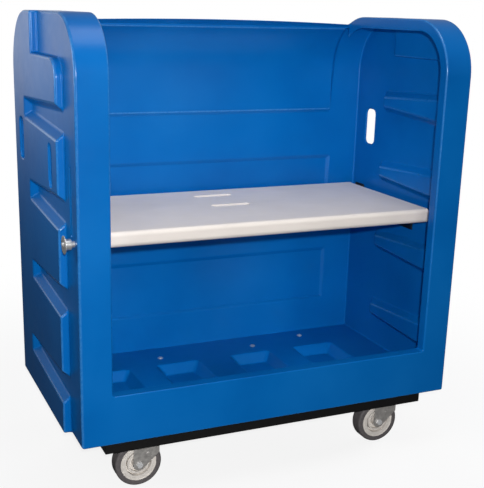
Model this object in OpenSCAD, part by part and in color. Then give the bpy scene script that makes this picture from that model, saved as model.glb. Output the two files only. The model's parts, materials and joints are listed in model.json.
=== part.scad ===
// Open-front bulk delivery cart: a moulded single-skin shell on a steel frame,
// with a fold-up shelf, four swivel casters and a strap stud on the left post.
// X runs across the front, Y from the front to the back, Z up from the floor.

/* [Shell] */
// Width across the plain faces of the front posts
body_w = 1270; // [1050:1:1530]
// Depth from the front face to the raised panels of the back
body_d = 708; // [590:1:850]
// Height of the moulded shell
shell_h = 1228; // [1020:1:1480]
// Thickness of the moulded skin
skin = 9; // [6:0.5:12]
// Radius of the side profile's upper front corner
front_r = 170; // [120:5:220]
// Radius of the side profile's upper back corner
back_r = 190; // [120:5:230]
// Width of the rim beside the opening
rim_w = 96; // [70:1:130]
// Depth of the lip that turns inwards round the opening
lip_d = 38; // [20:1:60]
// Height of the front sill
sill_h = 152; // [100:2:220]
// Fall from the top of the rim to the ends of the back wall's top edge
back_drop = 28; // [15:1:60]
// Rise of the back wall's top edge in the middle
back_crown = 10; // [2:1:20]

/* [Side ribs] */
// How far the ribbed panels stand out from the posts
rib_h = 24; // [12:1:32]
// Distance from the front face to the ends of the ribs
rib_front = 122; // [90:1:160]
// Height of each gap's centre above the base, as a share of the shell's height
gap_at = [0.123, 0.343, 0.555, 0.761];
// Distance from the back face to each gap's closed end on the left side
gap_end_left = [164, 213, 213, 164];
// Distance from the back face to each gap's closed end on the right side
gap_end_right = [213, 213, 213, 213];
// How far the sides of a gap slope inwards from the ribs' faces to the plain field
gap_slope = 20; // [10:1:22]
// Height of a gap at its closed end
gap_back_h = 62; // [50:1:80]
// Height of a gap where it opens to the front
gap_front_h = 101; // [80:1:130]
// Height of the plain field above the top rib
top_gap_h = 121; // [90:1:150]
// Distance from the back face to the closed end of the plain field
top_gap_end = 284; // [230:2:330]
// Radius of the top rib's front corner
rib_corner_r = 55; // [20:1:60]

/* [Back panels] */
// Depth of the steps round the back panels
panel_step = 7; // [3:0.5:10]
// Distance from a post's outer face to the side of a back panel
panel_side = 98; // [90:1:160]
// Lower and upper edge of the lowest panel, as shares of the shell's height
low_panel = [0.115, 0.282];
// Lower and upper edge of the middle panel
mid_panel = [0.35, 0.581];
// Lower and upper edge of the top panel
top_panel = [0.715, 0.99];

/* [Hand slots] */
// Width of a hand slot
slot_w = 60; // [40:1:80]
// Height of a hand slot
slot_h = 130; // [100:1:160]
// Corner radius of a hand slot
slot_r = 20; // [8:1:28]
// Height of the back slots' centre, as a share of the shell's height
slot_at = 0.676; // [0.62:0.002:0.69]
// Distance from the back face to the back slots' centre
slot_back = 111; // [90:1:120]
// Width of the front slot, on the left side only
front_slot_w = 46; // [30:1:60]
// Height of the front slot's centre, as a share of the shell's height
front_slot_at = 0.654; // [0.63:0.002:0.67]
// Distance from the front face to the front slot's centre
front_slot_y = 203; // [180:1:230]

/* [Floor wells] */
// Distances from the middle of the cart to the wells' centres, as shares of its width
well_at = [0.1126, 0.319];
// Width of a well at the floor
well_w = 167; // [130:1:190]
// Width of a well at its bottom
well_bottom_w = 111; // [80:1:130]
// Distance from the front face to a well
well_front = 179; // [170:1:220]
// Depth of a well
well_depth = 34; // [20:1:34]

/* [Frame] */
// Distance from a post's outer face to the end of the frame
frame_end = 77.5; // [60:0.5:100]
// Distance from the front face to the frame
frame_front = 26; // [10:1:40]
// Height of the frame's upright legs
frame_h = 42; // [36:1:44]
// Width of the frame's flat legs
angle_leg = 42; // [30:1:44]
// Thickness of the frame's angle
angle_t = 5; // [3:0.5:6]
// Distance from the frame's front to the middle of a stringer
stringer_in = 91; // [88:1:96]
// Width of a stringer bar
stringer_w = 26; // [20:1:28]
// Thickness of a caster pad
pad_t = 6; // [5:0.5:8]
// Length of a caster pad
pad_l = 120; // [110:1:126]

/* [Casters] */
// Distance from the frame's end to a swivel axis
swivel_end = 122.5; // [110:0.5:160]
// Distance all swivel axes are set to the right, so that the trailing wheels stand square
caster_shift = 20; // [0:1:24]
// Distance from the frame's front face to a swivel axis
swivel_in = 82; // [81:0.5:86]
// Distance the axle trails behind the swivel axis
trail = 20; // [10:1:30]
// Wheel diameter
wheel_d = 150; // [125:1:180]
// Gap between the wheel and the frame above it
wheel_gap = 5; // [4:0.5:12]
// Width of the tyre
tyre_w = 48; // [30:1:50]
// Thickness of the tyre
tyre_t = 17; // [8:0.5:20]
// Diameter of the axle bolt
axle_d = 12; // [10:0.5:14]
// Diameter of the kingpin
kingpin_d = 12; // [10:0.5:14]
// Thickness of the fork's legs
fork_t = 4; // [3:0.5:5]
// Space between the fork's legs
fork_gap = 54; // [52:0.5:56]
// Length of the caster plate
plate_l = 100; // [96:1:104]
// Width of the caster plate
plate_w = 80; // [76:1:84]
// Thickness of the caster plate
plate_t = 5; // [4:0.5:6]
// Diameter of the bearing balls
ball_d = 5.6; // [4:0.1:5.6]
// Bearing balls in a ring
ball_count = 14; // [8:1:18]

/* [Shelf] */
// Gap between the shelf's ends and the narrowest part of the shell
shelf_gap = 8; // [4:1:20]
// Distance from the front face to the shelf's front edge
shelf_front = 137; // [120:1:200]
// Height of the shelf's top, as a share of the shell's height
shelf_at = 0.495; // [0.47:0.001:0.5]
// Thickness of the shelf board
shelf_t = 47; // [36:1:50]
// Radius of the shelf's front edges
shelf_r = 14; // [4:1:16]
// Length of a shelf slot
shelf_slot_l = 140; // [100:2:200]
// Width of a shelf slot
shelf_slot_w = 26; // [16:1:40]
// Distances from the shelf's front edge to its two slots, as shares of its depth
shelf_slots = [0.5, 0.8];
// Distance from the back wall to the shelf's pivot
pivot_back = 54; // [52:1:70]
// Distance the shelf runs on behind its pivot
shelf_tail = 36; // [28:1:38]
// Diameter of a pivot pin
pivot_d = 16; // [12:0.5:18]
// Wall of a pivot bush
bush_t = 4; // [3:0.5:5]
// Length of a rest bracket
rest_l = 140; // [80:2:180]
// Reach of a rest bracket under the shelf
rest_reach = 60; // [40:1:80]

/* [Strap stud] */
// Height of the stud, as a share of the shell's height
stud_at = 0.498; // [0.46:0.002:0.52]
// Distance from the front face to the stud
stud_y = 30; // [26:1:34]
// Diameter of the stud's barrel
stud_d = 31; // [24:1:36]
// Diameter of the stud's flange
stud_flange_d = 52; // [40:1:58]
// Length of the groove above the stud
groove_l = 200; // [120:2:220]

/* [Fits] */
// Radial clearance of a running fit
run_gap = 0.05; // [0.02:0.01:0.1]
// Gap between faces that slide past each other
slide_gap = 0.3; // [0.2:0.05:0.5]
// Radial clearance of a bolt in its hole
bolt_gap = 0.3; // [0.1:0.05:0.5]

/* [Hidden] */
$fn = 96;
big = 3000;
corners = ["front_left", "front_right", "rear_left", "rear_right"];
corner_nodes = ["plate", "kingpin", "balls", "fork", "axle_bolt", "axle_nut", "sleeve", "core", "tyre"];
cart_nodes = [
    "body_shell", "front_rail", "rear_rail", "left_rail", "right_rail",
    "front_stringer", "rear_stringer", "caster_pads", "floor_bolts", "caster_bolts",
    "shelf_board", "shelf_bushes", "left_pivot", "right_pivot", "pivot_screws",
    "left_rest", "right_rest", "rest_screws",
    "stud_bolt", "stud_spool", "stud_flange", "stud_nut"
];

base_z = wheel_d + wheel_gap + frame_h;
front_y = -body_d / 2;
back_y = body_d / 2 - panel_step;
top_z = base_z + shell_h;
floor_z = base_z + skin;
open_w = body_w - 2 * rim_w;
sill_z = base_z + sill_h;
rib_y = front_y + rib_front;
inner_x = body_w / 2 + rib_h - skin;
crown_r = (pow(open_w / 2, 2) + pow(back_crown, 2)) / (2 * back_crown);
back_edge_z = top_z - back_drop + back_crown;
lip_end_y = back_y - back_r + sqrt(pow(back_r, 2) - pow(back_r - back_drop, 2));

panel_w = body_w - 2 * panel_side;
well_l = body_d - 2 * well_front;
stud_z = base_z + stud_at * shell_h;

frame_w = body_w - 2 * frame_end;
frame_d = body_d - 2 * frame_front;
frame_y = frame_d / 2;
frame_x = frame_w / 2;
swivel_x = frame_x - swivel_end;
stringer_y = frame_y - stringer_in;
floor_bolt_x = 0.146 * body_w;
pad_top = base_z - angle_t;
plate_top = pad_top - pad_t;
swivel_y = frame_y - swivel_in;
pad_in = 50;

wheel_r = wheel_d / 2;
core_r = wheel_r - tyre_t;
fork_half = fork_gap / 2;
crown_top = wheel_d + 13;
crown_t = 6;
race_h = 3;
race_r = 30;
fork_crown_r = 58;
ball_ring_r = 24;
ball_z = crown_top + race_h + slide_gap + ball_d / 2;
cup_z = ball_z + ball_d / 2 + 0.1;
sleeve_r = axle_d / 2 + 2;
bolt_d = 8;
tapped_l = 3.5;
bolt_x = 38;
bolt_y = 24;

shelf_y0 = front_y + shelf_front;
pivot_y = back_y - skin - pivot_back;
shelf_y1 = pivot_y + shelf_tail;
shelf_w = body_w - 2 * skin - 2 * shelf_gap;
shelf_top = base_z + shelf_at * shell_h;
shelf_low = shelf_top - shelf_t;
pivot_z = shelf_top - shelf_t / 2;
bush_r = pivot_d / 2 + bush_t;
bush_l = 50;
pivot_plate_t = 5;
pivot_plate = [58, 44];
rest_room = (shelf_at - gap_at[1]) * shell_h - shelf_t - gap_front_h / 2 - skin;
rest_h = min(58, rest_room - 4);
rest_t = 5;
rest_y = -10;
screw_d = 6;

stud_x = -body_w / 2;
stud_neck = 10;
stud_barrel = 19;
stud_flange_t = 3;
stud_bolt_d = 10;

blue = "#0b5fb0";
shelf_white = "#e3dfd8";
black = "#1b1b1d";
zinc = "#a3a5a6";
grey = "#b9b5ae";
tyre_grey = "#6b6769";
steel = "#c9ccce";

function corner_x(c) = caster_shift + ((c == 0 || c == 2) ? -swivel_x : swivel_x);
function corner_y(c) = (c < 2) ? -swivel_y : swivel_y;
function angle_of(p) = atan2(p[1], p[0]);
// Point where a line from p touches a circle of radius r about c, on the side given by s
function touch(p, c, r, s) =
    let (d = p - c, a = angle_of(d) + s * acos(r / norm(d)))
    c + r * [cos(a), sin(a)];

// Turns a flat outline drawn in Y and Z into a slab of width w across the cart
module across(w) {
    rotate([90, 0, 90]) translate([0, 0, -w / 2]) linear_extrude(w) children();
}

// Turns an outline drawn in X and Z into a slab from y0 to y1
module along(y0, y1) {
    translate([0, y1, 0]) rotate([90, 0, 0]) linear_extrude(y1 - y0) children();
}

module rounded(w, h, r) {
    square([w - 2 * r, h], center = true);
    square([w, h - 2 * r], center = true);
    for (x = [-1, 1], y = [-1, 1])
        translate([x * (w / 2 - r), y * (h / 2 - r)]) circle(r);
}

// Side view of the shell, drawn in Y and Z, moved inwards by inset
module side_profile(inset = 0) {
    y0 = front_y + inset;
    y1 = back_y - inset;
    z0 = base_z + inset;
    z1 = top_z - inset;
    rf = front_r - inset;
    rb = back_r - inset;
    translate([y0, z0]) square([y1 - y0, z1 - z0 - max(rf, rb)]);
    translate([y0 + rf, z0]) square([y1 - y0 - rf - rb, z1 - z0]);
    translate([y0, z0]) square([rf, z1 - z0 - rf]);
    translate([y1 - rb, z0]) square([rb, z1 - z0 - rb]);
    translate([y0 + rf, z1 - rf]) circle(rf);
    translate([y1 - rb, z1 - rb]) circle(rb);
}

// Outline of the raised ribs and back strip; the skin's inner face is grown by the skin
module rib_outline(inset = 0) {
    y0 = rib_y + inset;
    gap_top = top_z - top_gap_h - inset;
    corner = rib_corner_r - inset;
    difference() {
        side_profile(inset);
        translate([y0 - big, 0]) square([big, big]);
        translate([y0 - 1, gap_top]) square([body_d / 2 - top_gap_end - y0 + 1 + inset, big]);
        difference() {
            translate([y0 - 1, gap_top - corner]) square([corner + 1, corner + 1]);
            translate([y0 + corner, gap_top - corner]) circle(corner);
        }
    }
}

// Everything on the side of a plane that its normal n points to, moved by grow along n
module half_space(p, n, grow) {
    translate(p) rotate([0, acos(n[2] / norm(n)), atan2(n[1], n[0])])
        translate([-big / 2, -big / 2, grow]) cube(big);
}

// Gap between two ribs of side s with sloping sides, grown by the skin for its inside
module rib_gap(s, i, grow) {
    face_x = s * (body_w / 2 + rib_h);
    z = base_z + gap_at[i] * shell_h;
    y1 = body_d / 2 - (s < 0 ? gap_end_left : gap_end_right)[i];
    rise = (gap_front_h - gap_back_h) / 2 / (y1 - rib_y);
    difference() {
        translate([s > 0 ? body_w / 4 : -big, rib_y - big, z - gap_front_h])
            cube([big - body_w / 4, big + y1 - rib_y + 2 * skin, 2 * gap_front_h]);
        for (u = [-1, 1])
            half_space([face_x, y1, z + u * gap_back_h / 2], [-s * gap_slope / rib_h, rise, u], grow);
        half_space([face_x, y1, z], [-s * gap_slope / rib_h, 1, 0], grow);
    }
}

module ribs(w, inset) {
    difference() {
        across(w) rib_outline(inset);
        for (s = [-1, 1], i = [0 : 3]) rib_gap(s, i, inset);
    }
}

// Raised back panel between two heights, with its sides moved out by grow
module back_panel(range, y0, y1, grow) {
    translate([-panel_w / 2 - grow, y0, base_z + range[0] * shell_h - grow])
        cube([panel_w + 2 * grow, y1 - y0, (range[1] - range[0]) * shell_h + 2 * grow]);
}

// Band of the upper back wall, between two insets, where the top panel steps inwards
module top_panel_band(inset_a, inset_b, grow) {
    intersection() {
        across(panel_w + 2 * grow) difference() {
            side_profile(inset_a);
            side_profile(inset_b);
        }
        translate([-big / 2, back_y - back_r / 2, base_z + top_panel[0] * shell_h - grow])
            cube([big, big, (top_panel[1] - top_panel[0]) * shell_h + 2 * grow]);
    }
}

// Four-sided well with sloping sides, grown by the skin for its outside
module well(x, grow) {
    slope = (well_w - well_bottom_w) / 2;
    top = floor_z + 1;
    low = floor_z - well_depth - grow;
    half = well_w / 2 + grow;
    half_l = well_l / 2 + grow;
    intersection() {
        translate([x, 0, 0]) along(-well_l, well_l)
            polygon([[-half, top], [half, top], [half - slope, low], [slope - half, low]]);
        across(big)
            polygon([[-half_l, top], [half_l, top], [half_l - slope, low], [slope - half_l, low]]);
    }
}

// Everything that the opening takes away from the front, the top and the back wall's edge
module opening() {
    across(open_w) translate([front_y - big, sill_z]) square([back_y - back_r - front_y + big, big]);
    along(back_y - back_r - 1, back_y + big) difference() {
        translate([-open_w / 2, back_edge_z - 2 * back_crown]) square([open_w, big]);
        translate([0, back_edge_z - crown_r]) circle(crown_r, $fn = 720);
    }
}

// Lip down both posts, along the top rims and across the sill
module opening_lip() {
    for (s = [-1, 1])
        translate([s * (open_w + skin) / 2, 0, 0]) across(skin) intersection() {
            difference() {
                side_profile();
                side_profile(lip_d);
            }
            translate([front_y - 1, sill_z - skin]) square([lip_end_y - front_y + 1, big]);
        }
    translate([-open_w / 2 - skin, front_y + skin / 2, sill_z - skin])
        cube([open_w + 2 * skin, lip_d - skin / 2, skin]);
}

module hand_slot(s, y, z, w) {
    translate([s * inner_x, y, z]) across(4 * rib_h)
        rounded(w, slot_h, min(slot_r, w / 2 - 1));
}

module stringer_bolt_places() {
    for (x = [-1, 1], y = [-1, 1]) translate([x * floor_bolt_x, y * stringer_y, 0]) children();
}

module pad_bolt_places() {
    for (x = [-1, 1], y = [-1, 1]) translate([x * (swivel_x - 25), y * (frame_y - 48), 0]) children();
}

module rest_screw_places(s) {
    for (y = [-1, 1])
        translate([s * inner_x, rest_y + y * rest_l / 3, shelf_low - rest_h * 0.65]) children();
}

module pivot_screw_places(s) {
    for (y = [-1, 1], z = [-1, 1])
        translate([s * inner_x, pivot_y + y * 22, pivot_z + z * 15]) children();
}

module shell_outside() {
    across(body_w) side_profile();
    ribs(body_w + 2 * rib_h, 0);
    for (range = [low_panel, mid_panel])
        back_panel(range, back_y - skin, back_y + panel_step, skin);
    top_panel_band(skin / 2, skin + panel_step, 0);
    for (x = well_at, s = [-1, 1]) well(s * x * body_w, skin);
}

module shell_inside() {
    difference() {
        union() {
            across(body_w - 2 * skin) side_profile(skin);
            ribs(2 * inner_x, skin);
        }
        top_panel_band(skin / 2, skin + panel_step, 0);
    }
    for (range = [low_panel, mid_panel])
        back_panel(range, back_y - 2 * skin, back_y - skin + panel_step, 0);
    for (x = well_at, s = [-1, 1]) well(s * x * body_w, 0);
}

module body_shell() {
    color(blue) difference() {
        union() {
            difference() {
                shell_outside();
                shell_inside();
                top_panel_band(-1, panel_step, -skin);
                opening();
            }
            opening_lip();
        }
        for (s = [-1, 1]) hand_slot(s, body_d / 2 - slot_back, base_z + slot_at * shell_h, slot_w);
        hand_slot(-1, front_y + front_slot_y, base_z + front_slot_at * shell_h, front_slot_w);
        stud_groove();
        translate([stud_x - 1, front_y + stud_y, stud_z])
            rotate([0, 90, 0]) cylinder(d = stud_bolt_d + 2 * bolt_gap, h = skin + 2);
        translate([0, 0, base_z - 1]) {
            stringer_bolt_places() cylinder(d = bolt_d + 2 * bolt_gap, h = skin + 2);
            pad_bolt_places() cylinder(d = bolt_d + 2 * bolt_gap, h = skin + 2);
        }
    }
}

// Shallow groove down the outside of the left post, ending above the stud
module stud_groove() {
    groove_w = 12;
    groove_depth = 4.5;
    translate([stud_x, front_y + stud_y + 37, stud_z + 9 + groove_l / 2])
        across(2 * groove_depth) rounded(groove_w, groove_l, groove_w / 2 - 1);
}

// Length of rolled angle along X, with its upright leg at the front
module rail(length) {
    translate([-length / 2, 0, base_z - frame_h]) cube([length, angle_t, frame_h]);
    translate([-length / 2, 0, base_z - angle_t]) cube([length, angle_leg, angle_t]);
}

module front_rail() {
    color(black) translate([0, -frame_y, 0]) rail(frame_w);
}

module rear_rail() {
    color(black) mirror([0, 1, 0]) translate([0, -frame_y, 0]) rail(frame_w);
}

module end_rail() {
    translate([-frame_x, 0, 0]) rotate([0, 0, -90]) difference() {
        rail(frame_d - 2 * angle_t);
        for (s = [-1, 1])
            translate([s * (frame_d / 2 - angle_leg / 2), angle_leg / 2 + angle_t, base_z])
                cube([angle_leg, angle_leg + 2 * angle_t, 2 * angle_t + 1], center = true);
    }
}

module left_rail() {
    color(black) end_rail();
}

module right_rail() {
    color(black) mirror([1, 0, 0]) end_rail();
}

// Flat bar between the end rails, under the floor
module stringer() {
    length = frame_w - 2 * angle_leg;
    difference() {
        translate([0, stringer_y, base_z - angle_t / 2]) cube([length, stringer_w, angle_t], center = true);
        stringer_bolt_places()
            translate([0, 0, base_z - tapped_l]) cylinder(d = bolt_d + 2 * bolt_gap, h = tapped_l + 1);
    }
}

module front_stringer() {
    color(black) mirror([0, 1, 0]) stringer();
}

module rear_stringer() {
    color(black) stringer();
}

// Flat pads that reach from the upright leg of a rail to the far edge of the stringer
module caster_pads() {
    depth = frame_y - angle_t - swivel_y + pad_in;
    color(black) difference() {
        for (c = [0 : 3])
            translate([corner_x(c), sign(corner_y(c)) * (frame_y - angle_t - depth / 2), pad_top - pad_t / 2])
                cube([pad_l, depth, pad_t], center = true);
        pad_bolt_places()
            translate([0, 0, pad_top - tapped_l]) cylinder(d = bolt_d + 2 * bolt_gap, h = tapped_l + 1);
        caster_bolt_places()
            translate([0, 0, plate_top - 1]) cylinder(d = bolt_d + 2 * bolt_gap, h = pad_t + 2);
    }
}

module caster_bolt_places() {
    for (c = [0 : 3], x = [-1, 1], y = [-1, 1])
        translate([corner_x(c) + x * bolt_x, corner_y(c) + y * bolt_y, 0]) children();
}

// Round-headed bolt through the floor, whose shank reaches down to low
module floor_bolt(low) {
    head_r = 10;
    head_h = 5;
    ball_r = (pow(head_r, 2) + pow(head_h, 2)) / (2 * head_h);
    translate([0, 0, low]) cylinder(d = bolt_d, h = floor_z - low);
    intersection() {
        translate([0, 0, floor_z + head_h - ball_r]) sphere(ball_r);
        translate([0, 0, floor_z]) cylinder(r = head_r, h = head_h);
    }
}

// Bolts tapped into the stringers and into the caster pads
module floor_bolts() {
    color(steel) {
        stringer_bolt_places() floor_bolt(base_z - tapped_l + 0.2);
        pad_bolt_places() floor_bolt(pad_top - tapped_l + 0.2);
    }
}

module caster_bolts() {
    low = plate_top - plate_t;
    color(zinc) caster_bolt_places() {
        translate([0, 0, low - 5.5]) cylinder(d = 14.4, h = 5.5, $fn = 6);
        translate([0, 0, low]) cylinder(d = bolt_d, h = plate_t + pad_t - 0.5);
    }
}

// Rounded plastic board with two lifting slots and a bore in each end
module shelf_board() {
    depth = shelf_y1 - shelf_y0;
    color(shelf_white) difference() {
        translate([0, (shelf_y0 + shelf_y1) / 2, pivot_z]) across(shelf_w) rounded(depth, shelf_t, shelf_r);
        for (y = shelf_slots)
            translate([0, shelf_y0 + y * depth, shelf_low - 1]) linear_extrude(shelf_t + 2)
                rounded(shelf_slot_l, shelf_slot_w, shelf_slot_w / 2 - 1);
        for (s = [-1, 1])
            translate([s * (shelf_w / 2 - bush_l / 2 + 1), pivot_y, pivot_z]) rotate([0, 90, 0])
                cylinder(r = bush_r + run_gap, h = bush_l + 2, center = true);
    }
}

module shelf_bushes() {
    color(grey) for (s = [-1, 1])
        translate([s * (shelf_w - bush_l) / 2, pivot_y, pivot_z]) rotate([0, 90, 0]) difference() {
            cylinder(r = bush_r, h = bush_l, center = true);
            cylinder(d = pivot_d + 2 * run_gap, h = bush_l + 2, center = true);
        }
}

// Pivot plate on the left wall, with a boss and the pin that carries the shelf
module left_pivot() {
    boss_l = inner_x - pivot_plate_t - shelf_w / 2 - 2 * slide_gap;
    color(steel) translate([-inner_x, pivot_y, pivot_z]) {
        difference() {
            translate([pivot_plate_t / 2, 0, 0]) across(pivot_plate_t)
                rounded(pivot_plate[0], pivot_plate[1], 6);
            for (y = [-1, 1], z = [-1, 1])
                translate([-1, y * 22, z * 15]) rotate([0, 90, 0])
                    cylinder(d = screw_d + 2 * bolt_gap, h = pivot_plate_t + 2);
        }
        rotate([0, 90, 0]) cylinder(d = pivot_d + 10, h = pivot_plate_t + boss_l);
        rotate([0, 90, 0]) cylinder(d = pivot_d, h = inner_x - shelf_w / 2 + bush_l - 4);
    }
}

module right_pivot() {
    mirror([1, 0, 0]) left_pivot();
}

// Pan-headed screw along X that holds a plate of thickness t to the left wall
module wall_screw(t) {
    rotate([0, 90, 0]) {
        translate([0, 0, 0.1]) cylinder(d = screw_d, h = t);
        translate([0, 0, t]) cylinder(d1 = screw_d * 2, d2 = screw_d * 1.4, h = 3.5);
    }
}

module pivot_screws() {
    color(steel) {
        pivot_screw_places(-1) wall_screw(pivot_plate_t);
        mirror([1, 0, 0]) pivot_screw_places(-1) wall_screw(pivot_plate_t);
    }
}

// Angle bracket under the shelf's left end, with a web between its two legs
module left_rest() {
    color(steel) difference() {
        translate([-inner_x, rest_y, shelf_low]) {
            translate([0, -rest_l / 2, -rest_h]) cube([rest_t, rest_l, rest_h]);
            translate([0, -rest_l / 2, -rest_t]) cube([rest_reach, rest_l, rest_t]);
            along(-rest_t / 2, rest_t / 2)
                polygon([[0, 0], [rest_reach - 6, -rest_t], [rest_t, -rest_h + 4], [0, -rest_h + 4]]);
        }
        rest_screw_places(-1)
            translate([-1, 0, 0]) rotate([0, 90, 0]) cylinder(d = screw_d + 2 * bolt_gap, h = rest_t + 2);
    }
}

module right_rest() {
    mirror([1, 0, 0]) left_rest();
}

module rest_screws() {
    color(steel) {
        rest_screw_places(-1) wall_screw(rest_t);
        mirror([1, 0, 0]) rest_screw_places(-1) wall_screw(rest_t);
    }
}

// Places a piece that is turned about the stud's axis, measured outwards from the post
module on_stud() {
    translate([stud_x, front_y + stud_y, stud_z]) rotate([0, -90, 0]) children();
}

module stud_bolt() {
    outer = stud_neck + stud_barrel + stud_flange_t;
    head_r = 8;
    head_h = 5;
    ball_r = (pow(head_r, 2) + pow(head_h, 2)) / (2 * head_h);
    color(steel) on_stud() {
        translate([0, 0, -skin - 14]) cylinder(d = stud_bolt_d, h = outer + skin + 14);
        intersection() {
            translate([0, 0, outer + head_h - ball_r]) sphere(ball_r);
            translate([0, 0, outer]) cylinder(r = head_r, h = head_h);
        }
    }
}

// Turned spool: a neck against the post, then the barrel with its eased ends
module stud_spool() {
    r = stud_d / 2;
    bore = stud_bolt_d / 2 + run_gap;
    ease = 2;
    color(steel) on_stud() rotate_extrude()
        polygon([
            [bore, 0], [9, 0], [9, stud_neck], [r - ease, stud_neck], [r, stud_neck + ease],
            [r, stud_neck + stud_barrel - ease], [r - ease, stud_neck + stud_barrel],
            [bore, stud_neck + stud_barrel]
        ]);
}

module stud_flange() {
    color(steel) on_stud() translate([0, 0, stud_neck + stud_barrel]) difference() {
        cylinder(d = stud_flange_d, h = stud_flange_t);
        translate([0, 0, -1]) cylinder(d = stud_bolt_d + 2 * run_gap, h = stud_flange_t + 2);
    }
}

// Nut and washer inside the post
module stud_nut() {
    bore = stud_bolt_d + 2 * run_gap;
    color(steel) on_stud() translate([0, 0, -skin - 10]) difference() {
        union() {
            cylinder(d = 18.5, h = 9, $fn = 6);
            translate([0, 0, 8]) cylinder(d = 26, h = 2);
        }
        translate([0, 0, -1]) cylinder(d = bore, h = 13);
    }
}

// Top plate of a caster, with the bearing's upper race and its skirt
module caster_plate() {
    low = plate_top - plate_t;
    color(zinc) difference() {
        union() {
            translate([0, 0, low]) linear_extrude(plate_t) rounded(plate_l, plate_w, 8);
            translate([0, 0, cup_z]) cylinder(r = race_r + 3, h = low - cup_z + 1);
            translate([0, 0, cup_z - 3]) difference() {
                cylinder(r = race_r + 3, h = 4);
                translate([0, 0, -1]) cylinder(r = race_r + 1, h = 4);
            }
        }
        translate([0, 0, cup_z - 5]) cylinder(d = kingpin_d + 2 * run_gap, h = plate_top - cup_z + 10);
        for (x = [-1, 1], y = [-1, 1])
            translate([x * bolt_x, y * bolt_y, low - 1])
                cylinder(d = bolt_d + 2 * bolt_gap, h = plate_t + 2);
    }
}

module kingpin() {
    head_top = crown_top - crown_t - slide_gap;
    color(zinc) {
        translate([0, 0, head_top]) cylinder(d = kingpin_d, h = plate_top - head_top);
        translate([0, 0, head_top - 4]) cylinder(d1 = kingpin_d + 6, d2 = kingpin_d + 10, h = 4);
    }
}

module balls() {
    color(steel) for (i = [0 : ball_count - 1])
        rotate([0, 0, i * 360 / ball_count]) translate([ball_ring_r, 0, ball_z])
            sphere(d = ball_d, $fn = 32);
}

// Outline of a fork leg in X and Z: a round eye at the axle and a broad top under the crown
module leg_outline() {
    eye_r = 20;
    eye = [-trail, wheel_r];
    top = crown_top - crown_t / 2;
    back_x = -trail - 16;
    knee = [46, wheel_r + 33];
    side_r = eye_r - 0.6;
    back_side = touch([back_x, top], eye, side_r, 1);
    front_side = touch(knee, eye, side_r, -1);
    translate(eye) circle(eye_r);
    polygon([[back_x, top], back_side, front_side, knee, [knee[0], top]]);
}

// Pressed fork: crown with the lower race, and two legs with a raised boss on each
module fork() {
    boss_r = 8;
    boss_h = 1.5;
    color(zinc) difference() {
        union() {
            translate([0, 0, crown_top - crown_t]) cylinder(r = fork_crown_r, h = crown_t);
            translate([0, 0, crown_top]) difference() {
                cylinder(r = race_r, h = race_h);
                translate([0, 0, -1]) cylinder(r = race_r - 12, h = race_h + 2);
            }
            for (s = [-1, 1]) {
                along(s * (fork_half + fork_t / 2) - fork_t / 2, s * (fork_half + fork_t / 2) + fork_t / 2)
                    leg_outline();
                translate([10, s * (fork_half + fork_t + boss_h / 2 - 0.5), wheel_r + 30])
                    rotate([90, 0, 0]) cylinder(r = boss_r, h = boss_h + 1, center = true);
            }
        }
        translate([0, 0, crown_top - crown_t - 1])
            cylinder(d = kingpin_d + 2 * run_gap, h = crown_t + race_h + 2);
        translate([-trail, 0, wheel_r]) rotate([90, 0, 0])
            cylinder(d = axle_d + 2 * run_gap, h = 2 * fork_gap, center = true);
    }
}

// Bolt along Y with its hexagon head in front of the fork
module axle_bolt() {
    head = 7.5;
    reach = fork_half + fork_t;
    color(zinc) translate([-trail, -reach, wheel_r]) rotate([-90, 0, 0]) {
        translate([0, 0, -head]) cylinder(d = 20.8, h = head, $fn = 6);
        cylinder(d = axle_d, h = 2 * reach + 12);
    }
}

module axle_nut() {
    reach = fork_half + fork_t;
    color(zinc) translate([-trail, reach, wheel_r]) rotate([-90, 0, 0]) difference() {
        union() {
            cylinder(d = 20.8, h = 8, $fn = 6);
            translate([0, 0, 7]) cylinder(d = 17, h = 3.5);
        }
        translate([0, 0, -1]) cylinder(d = axle_d + 2 * run_gap, h = 13);
    }
}

module sleeve() {
    color(steel) translate([-trail, 0, wheel_r]) rotate([90, 0, 0]) difference() {
        cylinder(r = sleeve_r, h = fork_gap - 0.2, center = true);
        cylinder(d = axle_d + 2 * run_gap, h = fork_gap + 2, center = true);
    }
}

// Turns an outline drawn as radius and width about the axle
module about_axle() {
    translate([-trail, 0, wheel_r]) rotate([90, 0, 0]) rotate_extrude() children();
}

// Moulded wheel centre: hub, dished web with two rings, and the rim under the tyre
module core() {
    hub_half = fork_half - slide_gap;
    rim_half = tyre_w / 2 - 1;
    color(grey) about_axle() difference() {
        union() {
            translate([sleeve_r + run_gap, -hub_half]) square([10.5, 2 * hub_half]);
            translate([sleeve_r + 4, -6]) square([core_r - sleeve_r - 6, 12]);
            translate([core_r - 28, -rim_half + 3]) square([6, 2 * rim_half - 6]);
            translate([core_r - 16, -rim_half]) square([16, 2 * rim_half]);
        }
        for (s = [-1, 1]) translate([core_r - 5, s * rim_half]) circle(1.6);
    }
}

// Solid rubber tyre with rounded shoulders
module tyre() {
    shoulder = min(7, tyre_t / 2 - 0.2);
    half = tyre_w / 2;
    color(tyre_grey) about_axle() {
        translate([core_r + run_gap, -half]) square([tyre_t - shoulder - run_gap, tyre_w]);
        translate([core_r + run_gap, shoulder - half]) square([tyre_t - run_gap, tyre_w - 2 * shoulder]);
        for (s = [-1, 1]) translate([wheel_r - shoulder, s * (half - shoulder)]) circle(shoulder);
    }
}

// Places a caster piece at one of the four corners
module at_corner(c) {
    translate([corner_x(c), corner_y(c), 0]) children();
}

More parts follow.
